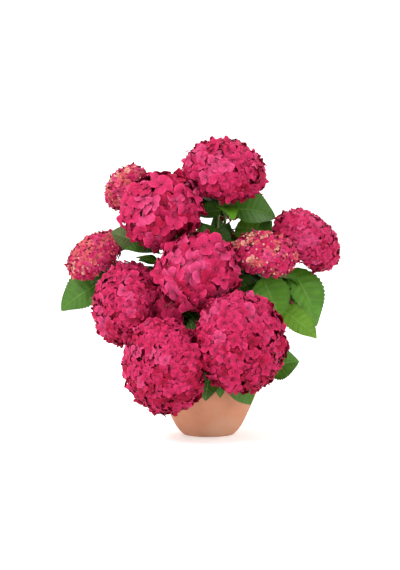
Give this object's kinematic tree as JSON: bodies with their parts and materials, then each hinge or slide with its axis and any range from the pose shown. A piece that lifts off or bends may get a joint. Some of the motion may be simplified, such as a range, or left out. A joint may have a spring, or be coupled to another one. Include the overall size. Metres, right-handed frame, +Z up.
{
  "type": "potted hydrangea",
  "caption": "Bushy mophead hydrangea in bloom, with large round deep pink flower heads over broad green leaves, standing in a low flaring terracotta pot.",
  "frame": {"origin": "The centre of the pot's flat underside, on the pot's axis.", "axes": "+Z is up, along the pot's axis. -Y is the plant's front, the side with the largest flower heads. +X is to the right as seen from the front."},
  "size_m": [0.5708, 0.4413, 0.5962],
  "materials": {
    "clay": "matt fired terracotta, a little greyer at the edges",
    "soil": "crumbly dark potting compost",
    "old_wood": "rough old bark",
    "bark": "pale brown bark",
    "leaf": "soft green leaf with a slight sheen",
    "sepals_open": "matt deep pink petals",
    "sepals_young": "matt salmon pink petals among cream buds"
  },
  "bodies": {
    "root": {"pot": "clay", "soil": "soil", "stock": "old_wood", "cane_top": "bark", "cane_upper_left": "bark", "cane_outer_upper_left": "bark", "cane_left": "bark", "cane_middle": "bark", "cane_lower_left": "bark", "cane_front_left": "bark", "cane_front_right": "bark", "cane_right_young": "bark", "cane_right": "bark", "cane_back_top": "bark", "cane_back_left": "bark", "cane_back_middle": "bark", "cane_back_right": "bark", "cane_back_low": "bark", "cane_back_upper": "bark", "cane_back_outer_right": "bark", "cane_low_front": "bark", "cane_low_right": "bark", "shoot_top": "leaf", "shoot_upper_left": "leaf", "shoot_outer_upper_left": "leaf", "shoot_left": "leaf", "shoot_middle": "leaf", "shoot_lower_left": "leaf", "shoot_front_left": "leaf", "shoot_front_right": "leaf", "shoot_right_young": "leaf", "shoot_right": "leaf", "shoot_back_top": "leaf", "shoot_back_left": "leaf", "shoot_back_middle": "leaf", "shoot_back_right": "leaf", "shoot_back_low": "leaf", "shoot_back_upper": "leaf", "shoot_back_outer_right": "leaf", "shoot_low_front": "leaf", "shoot_low_right": "leaf", "head_top": "sepals_open", "head_upper_left": "sepals_open", "head_outer_upper_left": "sepals_young", "head_left": "sepals_young", "head_middle": "sepals_open", "head_lower_left": "sepals_open", "head_front_left": "sepals_open", "head_front_right": "sepals_open", "head_right_young": "sepals_young", "head_right": "sepals_open", "head_back_top": "sepals_open", "head_back_left": "sepals_open", "head_back_middle": "sepals_open", "head_back_right": "sepals_open", "head_back_low": "sepals_open", "head_back_upper": "sepals_open", "head_back_outer_right": "sepals_young"}
  },
  "joints": []
}
